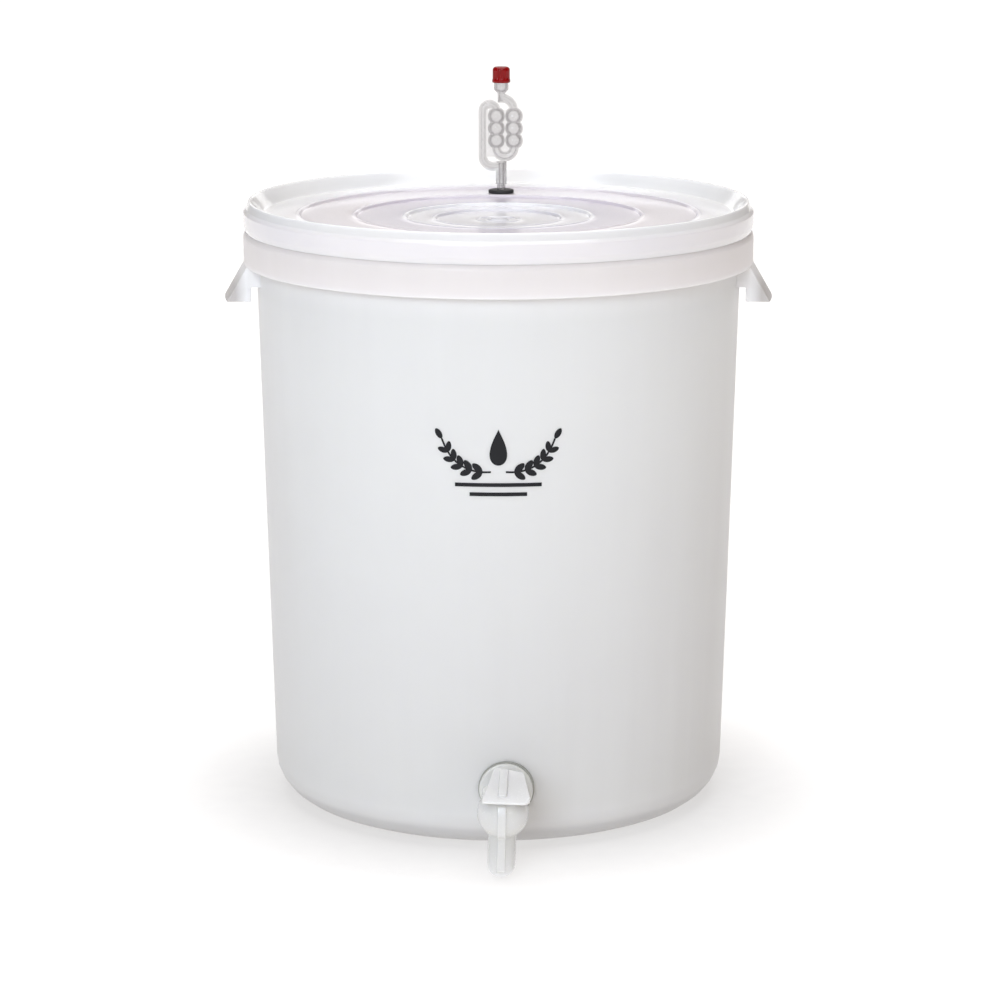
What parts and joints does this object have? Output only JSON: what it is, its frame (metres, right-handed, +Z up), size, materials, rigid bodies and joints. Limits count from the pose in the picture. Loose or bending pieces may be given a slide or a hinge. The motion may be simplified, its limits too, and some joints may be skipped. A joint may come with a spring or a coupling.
{
  "type": "fermenting bucket",
  "caption": "Tall tapered plastic brewing bucket with a dished lift-off lid, bubbler airlock in a rubber grommet, flared side handles and a lever tap near the base.",
  "frame": {"origin": "centre of the base, on the surface that the bucket stands on", "axes": "+Z up, the tap faces -Y, the two handles stand out along +X and -X"},
  "size_m": [0.392, 0.4254, 0.5167],
  "materials": {
    "bucket": "natural white translucent polypropylene, satin",
    "lid": "natural translucent polypropylene, smooth",
    "seal": "pale grey food-grade rubber",
    "grommet": "black rubber",
    "airlock": "clear polystyrene, polished",
    "cap": "deep red polyethylene, glossy",
    "tap": "natural white polyethylene, semi-gloss",
    "print": "screen-printed black ink"
  },
  "bodies": {
    "bucket": {"bucket_body": "bucket", "tap_body": "tap", "tap_outer_washer": "seal", "tap_inner_washer": "seal", "tap_backnut": "tap"},
    "lid": {"lid": "lid", "lid_seal": "seal", "airlock_grommet": "grommet"},
    "airlock": {"airlock_front_half": "airlock", "airlock_rear_half": "airlock"},
    "cap": {"airlock_cap": "cap"},
    "valve": {"tap_valve": "tap"}
  },
  "joints": [
    {"name": "lid_lift", "type": "slide", "parent": "bucket", "child": "lid", "axis": [0, 0, 1], "range_m": [0, 0.06]},
    {"name": "airlock_pull", "type": "slide", "parent": "lid", "child": "airlock", "axis": [0, 0, 1], "range_m": [0, 0.025]},
    {"name": "cap_pull", "type": "slide", "parent": "airlock", "child": "cap", "axis": [0, 0, 1], "range_m": [0, 0.015]},
    {"name": "tap_turn", "type": "hinge", "parent": "bucket", "child": "valve", "pos_m": [0.00303, -0.21873, 0.046], "axis": [0.0262, -0.0011, 0.9997], "range_deg": [-90, 90]}
  ]
}
